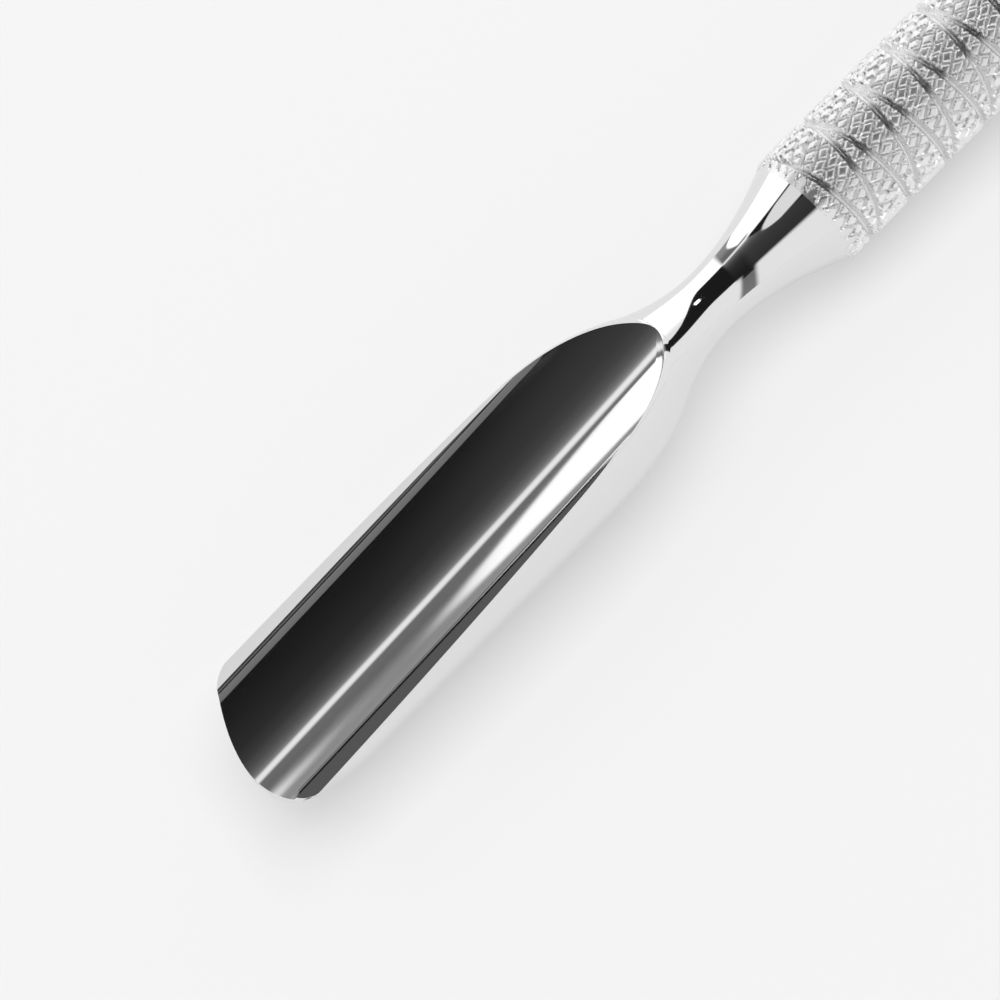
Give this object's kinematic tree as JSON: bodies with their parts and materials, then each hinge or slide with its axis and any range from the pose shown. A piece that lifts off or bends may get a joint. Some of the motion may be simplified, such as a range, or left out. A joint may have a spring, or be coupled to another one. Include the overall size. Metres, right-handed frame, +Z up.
{
  "type": "cuticle pusher",
  "caption": "Double-ended hand tool with a knurled round handle, a gouge-shaped scoop for pushing cuticles and a small pointed leaf for cleaning",
  "frame": {"origin": "on the handle's axis, at the middle of the handle's length", "axes": "+X along the handle toward the scoop's tip, +Z up out of the scoop's open side, +Y to the left seen from behind the handle looking toward the scoop"},
  "size_m": [0.135, 0.0082, 0.0065],
  "materials": {
    "polished_steel": "mirror-polished stainless steel",
    "knurled_steel": "bright diamond knurl with two crossing helical grooves",
    "braze": "silver braze, as cast"
  },
  "bodies": {
    "root": {"handle_tube": "knurled_steel", "scoop_end": "polished_steel", "cleaner_end": "polished_steel", "front_braze_ring": "braze", "rear_braze_ring": "braze"}
  },
  "joints": []
}
